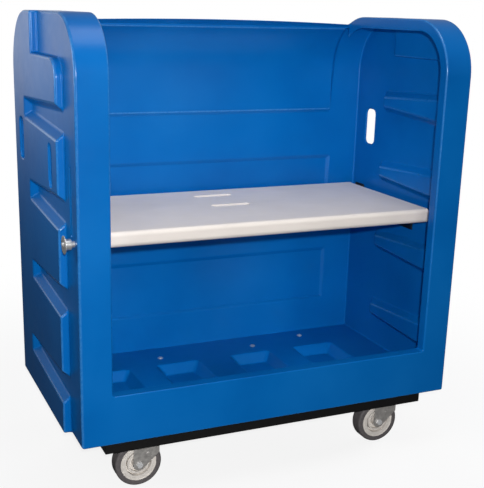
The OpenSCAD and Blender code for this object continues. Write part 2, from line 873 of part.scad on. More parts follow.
body_shell();
front_rail();
rear_rail();
left_rail();
right_rail();
front_stringer();
rear_stringer();
caster_pads();
floor_bolts();
caster_bolts();
shelf_board();
shelf_bushes();
left_pivot();
right_pivot();
pivot_screws();
left_rest();
right_rest();
rest_screws();
stud_bolt();
stud_spool();
stud_flange();
stud_nut();
at_corner(0) caster_plate();  // front_left_plate
at_corner(0) kingpin();  // front_left_kingpin
at_corner(0) balls();  // front_left_balls
at_corner(0) fork();  // front_left_fork
at_corner(0) axle_bolt();  // front_left_axle_bolt
at_corner(0) axle_nut();  // front_left_axle_nut
at_corner(0) sleeve();  // front_left_sleeve
at_corner(0) core();  // front_left_core
at_corner(0) tyre();  // front_left_tyre
at_corner(1) caster_plate();  // front_right_plate
at_corner(1) kingpin();  // front_right_kingpin
at_corner(1) balls();  // front_right_balls
at_corner(1) fork();  // front_right_fork
at_corner(1) axle_bolt();  // front_right_axle_bolt
at_corner(1) axle_nut();  // front_right_axle_nut
at_corner(1) sleeve();  // front_right_sleeve
at_corner(1) core();  // front_right_core
at_corner(1) tyre();  // front_right_tyre
at_corner(2) caster_plate();  // rear_left_plate
at_corner(2) kingpin();  // rear_left_kingpin
at_corner(2) balls();  // rear_left_balls
at_corner(2) fork();  // rear_left_fork
at_corner(2) axle_bolt();  // rear_left_axle_bolt
at_corner(2) axle_nut();  // rear_left_axle_nut
at_corner(2) sleeve();  // rear_left_sleeve
at_corner(2) core();  // rear_left_core
at_corner(2) tyre();  // rear_left_tyre
at_corner(3) caster_plate();  // rear_right_plate
at_corner(3) kingpin();  // rear_right_kingpin
at_corner(3) balls();  // rear_right_balls
at_corner(3) fork();  // rear_right_fork
at_corner(3) axle_bolt();  // rear_right_axle_bolt
at_corner(3) axle_nut();  // rear_right_axle_nut
at_corner(3) sleeve();  // rear_right_sleeve
at_corner(3) core();  // rear_right_core
at_corner(3) tyre();  // rear_right_tyre
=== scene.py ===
import json
import math
import bpy
import bmesh
from mathutils import Matrix, Vector


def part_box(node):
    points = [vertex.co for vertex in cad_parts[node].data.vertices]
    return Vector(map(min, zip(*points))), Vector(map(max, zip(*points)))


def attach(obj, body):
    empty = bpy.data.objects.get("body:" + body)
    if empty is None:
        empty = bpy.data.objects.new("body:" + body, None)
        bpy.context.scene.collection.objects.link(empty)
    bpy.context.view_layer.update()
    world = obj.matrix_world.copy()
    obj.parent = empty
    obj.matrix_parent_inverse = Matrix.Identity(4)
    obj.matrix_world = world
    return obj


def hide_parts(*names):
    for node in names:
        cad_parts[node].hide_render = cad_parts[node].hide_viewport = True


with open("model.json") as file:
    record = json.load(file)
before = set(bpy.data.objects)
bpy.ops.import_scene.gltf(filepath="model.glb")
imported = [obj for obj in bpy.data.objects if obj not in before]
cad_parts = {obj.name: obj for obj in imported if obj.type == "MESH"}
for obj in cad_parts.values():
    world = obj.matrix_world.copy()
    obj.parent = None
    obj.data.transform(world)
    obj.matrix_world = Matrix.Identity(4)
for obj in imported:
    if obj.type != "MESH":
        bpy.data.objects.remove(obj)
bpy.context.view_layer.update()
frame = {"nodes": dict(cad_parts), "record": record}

nodes = frame["nodes"]
scene = bpy.context.scene
scene.view_settings.view_transform = "Standard"


def hexColour(text):
    # sRGB hex to the linear values a shader socket wants
    out = []
    for i in (1, 3, 5):
        c = int(text[i:i + 2], 16) / 255
        out.append(c / 12.92 if c <= 0.04045 else ((c + 0.055) / 1.055) ** 2.4)
    return (*out, 1.0)


def addNode(tree, kind, settings=None, links=None):
    # links maps an input to a value or to another node's output socket
    n = tree.nodes.new(kind)
    for k, v in (settings or {}).items():
        setattr(n, k, v)
    for k, v in (links or {}).items():
        if isinstance(v, bpy.types.NodeSocket):
            tree.links.new(v, n.inputs[k])
        else:
            n.inputs[k].default_value = v
    return n


def startMaterial(name):
    m = bpy.data.materials.new(name)
    m.use_nodes = True
    t = m.node_tree
    t.nodes.clear()
    out = addNode(t, "ShaderNodeOutputMaterial")
    shader = addNode(t, "ShaderNodeBsdfPrincipled")
    t.links.new(shader.outputs["BSDF"], out.inputs["Surface"])
    coords = addNode(t, "ShaderNodeTexCoord").outputs["Object"]
    return m, t, shader, coords


def perMm(size):
    # noise scale that gives features of about this many millimetres
    return 1000.0 / size


mouldSettings = {
    # the pale edge colour stands partly for rub wear and partly for a painted highlight along the crests
    "blue": "#0263AF", "pale": "#0868B4", "deep": "#005CA7", "wearAndHighlight": "#4E90CC",
    "cloudMm": 320, "peelMm": 5.0, "scuffMm": 36, "nickMm": 9,
    "cloudLow": 0.3, "cloudHigh": 0.7, "nickLow": 0.36, "nickHigh": 0.66, "leastNick": 0.25, "wearAndHighlightShare": 0.5,
    "scuffLow": 0.35, "scuffHigh": 0.7, "roughLow": 0.28, "roughHigh": 0.33, "specular": 0.2, "ior": 1.51,
    "crestRough": 0.17, "crestSpecular": 0.42, "peelHeight": 0.0001, "peelStrength": 0.5,
}


def makeMouldedPolyethylene():
    # rotomoulded polyethylene: dyed through, slightly waxy, faint orange peel from the mould; on the crests
    # of outside edges shinier, and paler partly from rub wear and partly from a painted highlight
    s = mouldSettings
    m, t, shader, coords = startMaterial("rotomouldedPolyethylene")
    cloud = addNode(t, "ShaderNodeTexNoise", {}, {
        "Vector": coords, "Scale": perMm(s["cloudMm"]), "Detail": 3.0,
    })
    ramp = addNode(t, "ShaderNodeValToRGB", {}, {"Fac": cloud.outputs["Fac"]})
    ramp.color_ramp.elements[0].position = s["cloudLow"]
    ramp.color_ramp.elements[0].color = hexColour(s["deep"])
    ramp.color_ramp.elements[1].position = s["cloudHigh"]
    ramp.color_ramp.elements[1].color = hexColour(s["pale"])
    mid = ramp.color_ramp.elements.new((s["cloudLow"] + s["cloudHigh"]) / 2)
    mid.color = hexColour(s["blue"])
    edge = addNode(t, "ShaderNodeAttribute", {"attribute_name": "edge"})
    nick = addNode(t, "ShaderNodeTexNoise", {}, {
        "Vector": coords, "Scale": perMm(s["nickMm"]), "Detail": 4.0, "Roughness": 0.7,
    })
    patchyCrest = addNode(t, "ShaderNodeMapRange", {}, {
        "Value": nick.outputs["Fac"], "From Min": s["nickLow"], "From Max": s["nickHigh"],
        "To Min": s["leastNick"], "To Max": 1.0,
    })
    wearAndHighlight = addNode(t, "ShaderNodeMath", {"operation": "MULTIPLY"}, {
        0: edge.outputs["Fac"], 1: patchyCrest.outputs["Result"],
    })
    share = addNode(t, "ShaderNodeMath", {"operation": "MULTIPLY"}, {0: wearAndHighlight.outputs[0], 1: s["wearAndHighlightShare"]})
    # the crests turn paler: partly rub wear, partly a painted highlight
    colour = addNode(t, "ShaderNodeMix", {"data_type": "RGBA"}, {
        0: share.outputs[0], 6: ramp.outputs["Color"], 7: hexColour(s["wearAndHighlight"]),
    })
    t.links.new(colour.outputs[2], shader.inputs["Base Color"])
    scuff = addNode(t, "ShaderNodeTexNoise", {}, {
        "Vector": coords, "Scale": perMm(s["scuffMm"]), "Detail": 5.0, "Roughness": 0.65,
    })
    rough = addNode(t, "ShaderNodeMapRange", {}, {
        "Value": scuff.outputs["Fac"], "From Min": s["scuffLow"], "From Max": s["scuffHigh"],
        "To Min": s["roughLow"], "To Max": s["roughHigh"],
    })
    sleek = addNode(t, "ShaderNodeMix", {"data_type": "FLOAT"}, {
        0: edge.outputs["Fac"], 2: rough.outputs["Result"], 3: s["crestRough"],
    })
    t.links.new(sleek.outputs[0], shader.inputs["Roughness"])
    shine = addNode(t, "ShaderNodeMix", {"data_type": "FLOAT"}, {
        0: edge.outputs["Fac"], 2: s["specular"], 3: s["crestSpecular"],
    })
    t.links.new(shine.outputs[0], shader.inputs["Specular IOR Level"])
    # the real peel is about 1 mm across, drawn coarser so that it shows
    peel = addNode(t, "ShaderNodeTexNoise", {}, {
        "Vector": coords, "Scale": perMm(s["peelMm"]), "Detail": 2.0,
    })
    bump = addNode(t, "ShaderNodeBump", {}, {
        "Strength": s["peelStrength"], "Distance": s["peelHeight"], "Height": peel.outputs["Fac"],
    })
    t.links.new(bump.outputs["Normal"], shader.inputs["Normal"])
    shader.inputs["IOR"].default_value = s["ior"]
    return m


shelfSettings = {
    "white": "#E9E1DA", "shade": "#E0D8D1", "cloudMm": 180, "peelMm": 6.0, "rubMm": 26,
    "rubStretch": 0.25, "rubShare": 0.4, "markLow": 0.35, "markHigh": 0.65, "rubLow": 0.3, "rubHigh": 0.7,
    "roughLow": 0.42, "roughHigh": 0.55, "peelHeight": 0.0002, "peelStrength": 0.4, "ior": 1.51,
}


def makeShelfPolyethylene():
    # natural polyethylene board: milky off-white, matt moulded skin, faint rub marks along its length
    s = shelfSettings
    m, t, shader, coords = startMaterial("naturalPolyethylene")
    stretched = addNode(t, "ShaderNodeMapping", {}, {
        "Vector": coords, "Scale": (s["rubStretch"], 1.0, 1.0),
    })
    cloud = addNode(t, "ShaderNodeTexNoise", {}, {
        "Vector": coords, "Scale": perMm(s["cloudMm"]), "Detail": 4.0,
    })
    rub = addNode(t, "ShaderNodeTexNoise", {}, {
        "Vector": stretched.outputs[0], "Scale": perMm(s["rubMm"]), "Detail": 5.0, "Roughness": 0.6,
    })
    both = addNode(t, "ShaderNodeMix", {"data_type": "FLOAT"}, {
        0: s["rubShare"], 2: cloud.outputs["Fac"], 3: rub.outputs["Fac"],
    })
    ramp = addNode(t, "ShaderNodeValToRGB", {}, {"Fac": both.outputs[0]})
    ramp.color_ramp.elements[0].position = s["markLow"]
    ramp.color_ramp.elements[0].color = hexColour(s["shade"])
    ramp.color_ramp.elements[1].position = s["markHigh"]
    ramp.color_ramp.elements[1].color = hexColour(s["white"])
    t.links.new(ramp.outputs["Color"], shader.inputs["Base Color"])
    rough = addNode(t, "ShaderNodeMapRange", {}, {
        "Value": rub.outputs["Fac"], "From Min": s["rubLow"], "From Max": s["rubHigh"],
        "To Min": s["roughLow"], "To Max": s["roughHigh"],
    })
    t.links.new(rough.outputs["Result"], shader.inputs["Roughness"])
    peel = addNode(t, "ShaderNodeTexNoise", {}, {
        "Vector": coords, "Scale": perMm(s["peelMm"]), "Detail": 2.0,
    })
    bump = addNode(t, "ShaderNodeBump", {}, {
        "Strength": s["peelStrength"], "Distance": s["peelHeight"], "Height": peel.outputs["Fac"],
    })
    t.links.new(bump.outputs["Normal"], shader.inputs["Normal"])
    shader.inputs["IOR"].default_value = s["ior"]
    return m


grainSettings = {"detail": 3.0, "low": 0.3, "high": 0.7, "bumpStrength": 0.4}


def makeGrained(name, low, high, grainMm, roughLow, roughHigh, metallic=0.0, bumpHeight=0.0001):
    # one grain drives colour, roughness and bump, as it does on plated, painted or moulded small parts
    s = grainSettings
    m, t, shader, coords = startMaterial(name)
    grain = addNode(t, "ShaderNodeTexNoise", {}, {
        "Vector": coords, "Scale": perMm(grainMm), "Detail": s["detail"],
    })
    ramp = addNode(t, "ShaderNodeValToRGB", {}, {"Fac": grain.outputs["Fac"]})
    ramp.color_ramp.elements[0].position = s["low"]
    ramp.color_ramp.elements[0].color = hexColour(low)
    ramp.color_ramp.elements[1].position = s["high"]
    ramp.color_ramp.elements[1].color = hexColour(high)
    t.links.new(ramp.outputs["Color"], shader.inputs["Base Color"])
    rough = addNode(t, "ShaderNodeMapRange", {}, {
        "Value": grain.outputs["Fac"], "From Min": s["low"], "From Max": s["high"],
        "To Min": roughLow, "To Max": roughHigh,
    })
    t.links.new(rough.outputs["Result"], shader.inputs["Roughness"])
    bump = addNode(t, "ShaderNodeBump", {}, {
        "Strength": s["bumpStrength"], "Distance": bumpHeight, "Height": grain.outputs["Fac"],
    })
    t.links.new(bump.outputs["Normal"], shader.inputs["Normal"])
    shader.inputs["Metallic"].default_value = metallic
    return m


bluePlastic = makeMouldedPolyethylene()
whitePlastic = makeShelfPolyethylene()
# black powder coat: fine orange peel, dull sheen
blackCoat = makeGrained(
    "blackPowderCoat", "#070708", "#0D0D0E",
    grainMm=3.0, roughLow=0.45, roughHigh=0.6,
)
# bright zinc on pressed steel: cloudy grey, satin
zincPlate = makeGrained(
    "zincPlatedSteel", "#B4B1AE", "#CECBC7",
    grainMm=12.0, roughLow=0.4, roughHigh=0.52, metallic=0.6, bumpHeight=0.00005,
)
# zinc on the axle bolts and nuts, paler and less metallic than the rest: a painted highlight for their small
# bright glints
zincWithPaintedGlint = makeGrained(
    "zincWithPaintedGlint", "#DCDDDE", "#EEEFF0",
    grainMm=4.0, roughLow=0.25, roughHigh=0.35, metallic=0.35, bumpHeight=0.00002,
)
# turned stainless steel: bright and even
stainless = makeGrained(
    "stainlessSteel", "#CFD0D2", "#DFE0E1",
    grainMm=6.0, roughLow=0.3, roughHigh=0.4, metallic=0.75, bumpHeight=0.00003,
)
# grey thermoplastic rubber: matt, dusty
greyRubber = makeGrained(
    "greyRubber", "#565253", "#666263",
    grainMm=9.0, roughLow=0.6, roughHigh=0.78, metallic=0.0, bumpHeight=0.0001,
)
# moulded nylon wheel centre: warm grey, matt
wheelNylon = makeGrained(
    "mouldedNylon", "#D6D0C9", "#E4DED7",
    grainMm=11.0, roughLow=0.45, roughHigh=0.6, metallic=0.0, bumpHeight=0.00008,
)
# natural nylon bush: cream and smooth
bushNylon = makeGrained(
    "naturalNylon", "#D8D2C4", "#E4DFD3",
    grainMm=6.0, roughLow=0.35, roughHigh=0.45, metallic=0.0, bumpHeight=0.00004,
)
finishes = {
    "moulded_polyethylene": bluePlastic, "shelf_polyethylene": whitePlastic, "black_paint": blackCoat,
    "zinc_plate": zincPlate, "stainless_steel": stainless, "grey_rubber": greyRubber,
    "wheel_nylon": wheelNylon, "nylon": bushNylon,
}
slotOf = {p["node"]: p["material_slot"] for p in frame["record"]["subparts"]}
bodyOf = {n: b for b, names in frame["record"]["behaviour"]["bodies"].items() for n in names}
print("materials made")


# the gap within which points merge, the edge that counts as none and the widest radius, in metres, then the
# angles that count as flat, sharp or smooth, the bend of a crest in radians, and the digits that tell planes
# and places apart
meshSettings = {
    "merge": 2e-5, "speck": 1e-6, "widest": 0.02, "flatDeg": 0.6, "sharpDeg": 28,
    "smoothDeg": 40, "madeSmoothDeg": 35, "crestBend": 0.05, "turnDigits": 3, "placeDigits": 4,
}


def cleanCopy(name, node):
    # the node's triangles merged and its flat faces joined, as a new object at the origin
    s = meshSettings
    mesh = nodes[node].data.copy()
    mesh.name = name
    mesh.materials.clear()
    obj = bpy.data.objects.new(name, mesh)
    scene.collection.objects.link(obj)
    bm = bmesh.new()
    bm.from_mesh(mesh)
    bmesh.ops.remove_doubles(bm, verts=bm.verts, dist=s["merge"])
    bmesh.ops.dissolve_limit(bm, angle_limit=math.radians(s["flatDeg"]), verts=bm.verts, edges=bm.edges)
    # each face keeps the number of its plane, and many-sided faces are cut into triangles, which stay sound
    # under the bevel
    flat = bm.faces.layers.int.new("flat")
    planes = {}
    for f in bm.faces:
        turn = [round(c, s["turnDigits"]) for c in f.normal]
        key = (*turn, round(f.normal.dot(f.verts[0].co), s["placeDigits"]))
        f[flat] = planes.setdefault(key, len(planes))
    bmesh.ops.triangulate(bm, faces=[f for f in bm.faces if len(f.verts) > 4])
    bm.to_mesh(mesh)
    bm.free()
    return obj


def fillRim(rim, normal):
    # triangles between a flat face's edges, or None where rounded edges cross
    trial = bmesh.new()
    # in millimetres, since very small areas count as none in the fill
    twin = {v: trial.verts.new(v.co * 1000) for e in rim for v in e.verts}
    own = {t: v for v, t in twin.items()}
    edges = [trial.edges.new([twin[v] for v in e.verts]) for e in rim]
    bmesh.ops.triangle_fill(trial, use_beauty=True, edges=edges, normal=normal)
    inner = set(trial.edges) - set(edges)
    sound = all(len(e.link_faces) == 1 for e in edges) and all(len(e.link_faces) == 2 for e in inner)
    made = []
    for f in trial.faces:
        corners = [own[v] for v in f.verts]
        made.append(corners if f.normal.dot(normal) > 0 else corners[::-1])
    trial.free()
    return made if sound else None


def refillFlats(bm):
    # fills flat faces anew between their rounded edges, since the bevel folds some slivers over
    flat = bm.faces.layers.int["flat"]
    # the bevel's face strength, which the weighted normals read
    strength = bm.faces.layers.int["__mod_weightednormals_faceweight"]
    groups = {}
    for f in bm.faces:
        if f.material_index == 0:
            groups.setdefault(f[flat], []).append(f)
    fills, cuts, old = [], [], []
    for faces in groups.values():
        if len(faces) < 3:
            continue
        normal = sum((f.normal * f.calc_area() for f in faces), Vector()).normalized()
        whole, rim, inner = set(faces), [], []
        for e in dict.fromkeys(e for f in faces for e in f.edges):
            (inner if all(f in whole for f in e.link_faces) else rim).append(e)
        made = fillRim(rim, normal)
        if made:
            fills.append((made, faces[0][strength]))
            cuts += inner
            old += faces
    bmesh.ops.delete(bm, geom=old, context="FACES_ONLY")
    bmesh.ops.delete(bm, geom=cuts, context="EDGES")
    for made, weight in fills:
        for corners in made:
            bm.faces.new(corners)[strength] = weight
    bm.normal_update()


def markEdges(mesh, refill):
    # stores 1 on the crest of each rounded outside edge, so that the finish can show wear and a painted
    # highlight there
    s = meshSettings
    bm = bmesh.new()
    bm.from_mesh(mesh)
    if refill:
        refillFlats(bm)
    else:
        bmesh.ops.dissolve_degenerate(bm, dist=s["speck"], edges=bm.edges)
    crest = bm.verts.layers.float.new("edge")
    for v in bm.verts:
        if all(f.material_index == 1 for f in v.link_faces):
            shared = [e for e in v.link_edges if len(e.link_faces) == 2]
            inner = [e for e in shared if e.calc_face_angle(0) > s["crestBend"]]
            v[crest] = 1.0 if inner and all(e.is_convex for e in inner) else 0.0
    for f in bm.faces:
        f.material_index = 0
        f.smooth = True
    bm.to_mesh(mesh)
    bm.free()


def roundEdges(obj, finish, radiusAt, segments, refill=False):
    # bevels each sharp edge by the radius that radiusAt gives for it
    s = meshSettings
    mesh = obj.data
    # the second slot marks the faces that the bevel makes
    for i in range(2):
        mesh.materials.append(finish)
    bm = bmesh.new()
    bm.from_mesh(mesh)
    weight = bm.edges.layers.float.new("bevel_weight_edge")
    for e in bm.edges:
        if len(e.link_faces) == 2 and e.calc_face_angle(0) > math.radians(s["sharpDeg"]):
            e[weight] = min(radiusAt(e) / s["widest"], 1.0)
    for f in bm.faces:
        f.material_index = 0
    bm.to_mesh(mesh)
    bm.free()
    bevel = obj.modifiers.new("edges", "BEVEL")
    bevel.limit_method = "WEIGHT"
    bevel.width = s["widest"]
    bevel.segments = segments
    bevel.use_clamp_overlap = False
    bevel.loop_slide = False
    bevel.miter_outer = "MITER_ARC"
    bevel.material = 1
    bevel.face_strength_mode = "FSTR_ALL"
    obj.data = bpy.data.meshes.new_from_object(obj.evaluated_get(bpy.context.evaluated_depsgraph_get()))
    obj.modifiers.clear()
    obj.data.name = obj.name
    markEdges(obj.data, refill)
    obj.data.materials.pop(index=1)
    obj.data.set_sharp_from_angle(angle=math.radians(s["smoothDeg"]))
    fine = obj.modifiers.new("shading", "WEIGHTED_NORMAL")
    fine.keep_sharp = True
    fine.use_face_influence = True


def standFor(obj, *names):
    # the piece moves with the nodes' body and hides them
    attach(obj, bodyOf[names[0]])
    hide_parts(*names)


shellSettings = {
    # edge radii
    "outer": 0.008, "window": 0.006, "rib": 0.006, "ribFoot": 0.006, "inside": 0.006, "frontSlot": 0.0015,
    "panel": 0.0028, "thin": 0.0038, "wellCorner": 0.012, "wellRim": 0.005, "shortest": 0.0026, "segments": 3,
    # where they hold: outer and inner faces of the sides, front slot, outline, inside walls, wells and window
    "outerFace": 0.6345, "innerFace": 0.62, "slotY": -0.151, "slotReach": 0.035, "slotZ": (0.9, 1.1),
    "outlineY": (-0.340, 0.332), "outlineZ": (0.198, 1.2), "insideFrom": 0.23, "insideBack": 0.32,
    "wellZ": (0.165, 0.21), "wellX": 0.5, "wellY": 0.19, "wellWall": 0.02,
    "windowX": (0.5375, 0.5405), "windowFrom": 0.347,
}


def within(value, limits):
    return limits[0] < value < limits[1]


def shellRadius(e):
    s = shellSettings
    a, b = (v.co for v in e.verts)
    m = (a + b) / 2
    across = abs(m.x)
    if (a - b).length < s["shortest"]:
        return 0.0
    if across > s["innerFace"] and abs(m.y - s["slotY"]) < s["slotReach"] and within(m.z, s["slotZ"]):
        return s["frontSlot"]
    if across > s["outerFace"]:
        if not e.is_convex:
            return s["ribFoot"]
        (front, back), (low, high) = s["outlineY"], s["outlineZ"]
        outline = m.y < front or m.y > back or m.z > high or m.z < low
        return s["outer"] if outline else s["rib"]
    if across > s["innerFace"] and m.z > s["insideFrom"] and m.y < s["insideBack"]:
        # on the left the front slot lies close to a rib gap
        return s["inside"] if m.x > 0 else s["panel"]
    if within(m.z, s["wellZ"]) and abs(m.y) < s["wellY"] and across < s["wellX"]:
        return s["wellCorner"] if abs(a.z - b.z) > s["wellWall"] else s["wellRim"]
    if within(across, s["windowX"]) and m.z > s["windowFrom"]:
        return s["window"]
    return s["thin"] if e.is_convex else s["panel"]


# the panels' side edges, the height above which they are raised, how far their steps slope, and the angles
# that tell a bend, in radians, and a step
panelSettings = {
    "side": 0.537, "near": 0.001, "raisedFrom": 1.0, "run": 0.012, "lowRun": 0.005,
    "bend": 0.2, "stepDeg": 80,
}


def slopePanels(mesh):
    # the face of each back panel draws in a little, so that the steps round it slope as a mould needs
    s = panelSettings
    bm = bmesh.new()
    bm.from_mesh(mesh)
    inward, along = set(), {}
    for e in bm.edges:
        a, b = e.verts
        if a.co.x * b.co.x > 0 or any(abs(abs(v.co.x) - s["side"]) > s["near"] for v in e.verts):
            continue
        angle = e.calc_face_angle(0)
        raised = a.co.z > s["raisedFrom"]
        if angle > s["bend"] and e.is_convex != raised:
            continue
        inward.update(e.verts)
        if angle > math.radians(s["stepDeg"]):
            face = max(e.link_faces, key=lambda f: f.calc_area())
            for v in e.verts:
                lower = v.co.z < face.calc_center_median().z
                along[v] = (s["run"] if raised else s["lowRun"]) if lower else -s["run"]
    for v in inward:
        v.co.x -= math.copysign(s["run"], v.co.x)
        v.co.z += along.get(v, 0.0)
    # a face that was tilted shares its plane with no other
    flat = bm.faces.layers.int["flat"]
    for f in {f for v in inward for f in v.link_faces}:
        f[flat] = -1 - f.index
    bm.to_mesh(mesh)
    bm.free()
    print("panels", len(inward), "points moved")


def buildShell():
    shell = cleanCopy("moulded_shell", "body_shell")
    slopePanels(shell.data)
    roundEdges(shell, bluePlastic, shellRadius, shellSettings["segments"], refill=True)
    standFor(shell, "body_shell")
    print("shell", len(shell.data.polygons), "faces")


# edge radius in metres and bevel steps for each plain kind of piece
easedSettings = {
    "shelf_board": (0.004, 3),
    "rail": (0.0015, 2), "stringer": (0.001, 2), "caster_pads": (0.001, 2),
    "pivot": (0.0008, 2), "rest": (0.001, 2),
    "stud_bolt": (0.0004, 2), "stud_spool": (0.0008, 2), "stud_flange": (0.001, 3), "stud_nut": (0.0005, 2),
    "plate": (0.001, 2), "fork": (0.0012, 2), "axle_bolt": (0.0005, 2), "axle_nut": (0.0005, 2),
    "core": (0.0008, 2), "tyre": (0.0012, 2),
}
# an edge shorter than this share of its radius stays sharp
shortShare = 0.4


def easeNode(node):
    kind = max((k for k in easedSettings if node.endswith(k)), key=len, default=None)
    if kind is None:
        return False
    radius, segments = easedSettings[kind]
    obj = cleanCopy(node + "_eased", node)
    # the axle parts take the zinc that is painted paler as a highlight
    finish = zincWithPaintedGlint if kind.startswith("axle") else finishes[slotOf[node]]

    def radiusAt(e):
        a, b = (v.co for v in e.verts)
        return radius if (a - b).length > radius * shortShare else 0.0

    roundEdges(obj, finish, radiusAt, segments)
    standFor(obj, node)
    return True


buildShell()
eased = [p["node"] for p in frame["record"]["subparts"] if easeNode(p["node"])]
print(len(eased), "nodes eased")
for node, slotName in slotOf.items():
    data = nodes[node].data
    data.materials.clear()
    data.materials.append(finishes[slotName])
print("nodes painted")


def looseBoxes(node):
    # box of each separate solid in a node
    bm = bmesh.new()
    bm.from_mesh(nodes[node].data)
    bmesh.ops.remove_doubles(bm, verts=bm.verts, dist=meshSettings["merge"])
    left, boxes = set(bm.verts), []
    while left:
        stack, part = [left.pop()], []
        while stack:
            v = stack.pop()
            part.append(v.co.copy())
            for e in v.link_edges:
                o = e.other_vert(v)
                if o in left:
                    left.remove(o)
                    stack.append(o)
        boxes.append((Vector(map(min, zip(*part))), Vector(map(max, zip(*part)))))
    bm.free()
    # sorted, since the order in which points leave a set differs between runs
    return sorted(boxes, key=lambda box: [round(c, meshSettings["placeDigits"]) for c in box[0]])


def startTree(name, sizes):
    # a geometry tree with one named input for each size
    t = bpy.data.node_groups.new(name, "GeometryNodeTree")
    t.interface.new_socket("Geometry", in_out="INPUT", socket_type="NodeSocketGeometry")
    for k in sizes:
        t.interface.new_socket(k, in_out="INPUT", socket_type="NodeSocketFloat")
    t.interface.new_socket("Material", in_out="INPUT", socket_type="NodeSocketMaterial")
    t.interface.new_socket("Geometry", in_out="OUTPUT", socket_type="NodeSocketGeometry")
    start = addNode(t, "NodeGroupInput")
    return t, start.outputs


def endTree(t, given, instances):
    real = addNode(t, "GeometryNodeRealizeInstances", {}, {"Geometry": instances})
    painted = addNode(t, "GeometryNodeSetMaterial", {}, {
        "Geometry": real.outputs[0], "Material": given["Material"],
    })
    addNode(t, "NodeGroupOutput", {}, {"Geometry": painted.outputs[0]})
    return t


def runTree(obj, tree, values):
    # inputs are set by identifier before the first evaluation, then the result becomes a plain mesh
    mod = obj.modifiers.new("nodes", "NODES")
    mod.node_group = tree
    for item in tree.interface.items_tree:
        if item.in_out == "INPUT" and item.name in values:
            mod[item.identifier] = values[item.name]
    made = bpy.data.meshes.new_from_object(obj.evaluated_get(bpy.context.evaluated_depsgraph_get()))
    obj.modifiers.clear()
    obj.data = made
    made.name = obj.name
    made.materials.clear()
    made.materials.append(values["Material"])
    for p in made.polygons:
        p.material_index = 0
        p.use_smooth = True
    made.set_sharp_from_angle(angle=math.radians(meshSettings["madeSmoothDeg"]))
    return obj


def pointObject(name, places):
    # one vertex for each place, with the direction that the head faces
    mesh = bpy.data.meshes.new(name)
    mesh.from_pydata([p for p, a in places], [], [])
    axis = mesh.attributes.new("axis", "FLOAT_VECTOR", "POINT")
    for i, (p, a) in enumerate(places):
        axis.data[i].vector = a
    obj = bpy.data.objects.new(name, mesh)
    scene.collection.objects.link(obj)
    return obj


def joinPieces(name, pieces):
    # several made pieces as one mesh at the origin
    bm = bmesh.new()
    for o in pieces:
        bm.from_mesh(o.data)
    mesh = bpy.data.meshes.new(name)
    bm.to_mesh(mesh)
    bm.free()
    mesh.materials.append(pieces[0].data.materials[0])
    for o in pieces:
        bpy.data.objects.remove(o)
    obj = bpy.data.objects.new(name, mesh)
    scene.collection.objects.link(obj)
    mesh.set_sharp_from_angle(angle=math.radians(meshSettings["madeSmoothDeg"]))
    return obj


fastenerSettings = {
    "floor": {
        "Head Radius": 0.010, "Head Height": 0.005, "Shank Radius": 0.004,
        "Socket Radius": 0.0034, "Socket Depth": 0.0026,
    },
    "wall": {
        "Head Radius": 0.006, "Head Height": 0.0035, "Shank Radius": 0.003,
        "Socket Radius": 0.0023, "Socket Depth": 0.0018,
    },
    "caster": {
        "Head Radius": 0.0072, "Head Height": 0.0055, "Shank Radius": 0.004,
        "Flange Radius": 0.0078, "Flange Height": 0.0012,
    },
    # sides of the round parts and rings of the dome, and how the dome sinks from its middle to its rim
    "headSides": 36, "shankSides": 24, "domeRings": 7, "domePower": 2.2, "domeDrop": 0.78,
    # the cone that turns off a head's corners: its radius at the top as a share of the head's, how it widens
    # with depth, and how far it runs past both ends, so that no faces coincide in the cut
    "coneShare": 0.84, "coneSlope": 1.9, "coneOver": 0.25,
}


def spreadFastener(t, given, heads):
    # joins the head and a plain shank behind it, and sets one on each point along its axis
    sides = fastenerSettings["shankSides"]
    back = addNode(t, "ShaderNodeMath", {"operation": "MULTIPLY"}, {0: given["Shank Length"], 1: -0.5})
    down = addNode(t, "ShaderNodeCombineXYZ", {}, {"Z": back.outputs[0]})
    bar = addNode(t, "GeometryNodeMeshCylinder", {}, {
        "Vertices": sides, "Radius": given["Shank Radius"], "Depth": given["Shank Length"],
    })
    shank = addNode(t, "GeometryNodeTransform", {}, {
        "Geometry": bar.outputs["Mesh"], "Translation": down.outputs[0],
    })
    whole = addNode(t, "GeometryNodeJoinGeometry")
    for piece in (*heads, shank):
        t.links.new(piece.outputs[0], whole.inputs["Geometry"])
    axis = addNode(t, "GeometryNodeInputNamedAttribute", {"data_type": "FLOAT_VECTOR"}, {"Name": "axis"})
    turn = addNode(t, "FunctionNodeAlignRotationToVector", {"axis": "Z"}, {
        "Vector": axis.outputs["Attribute"],
    })
    spread = addNode(t, "GeometryNodeInstanceOnPoints", {}, {
        "Points": given["Geometry"], "Instance": whole.outputs[0], "Rotation": turn.outputs[0],
    })
    return endTree(t, given, spread.outputs[0])


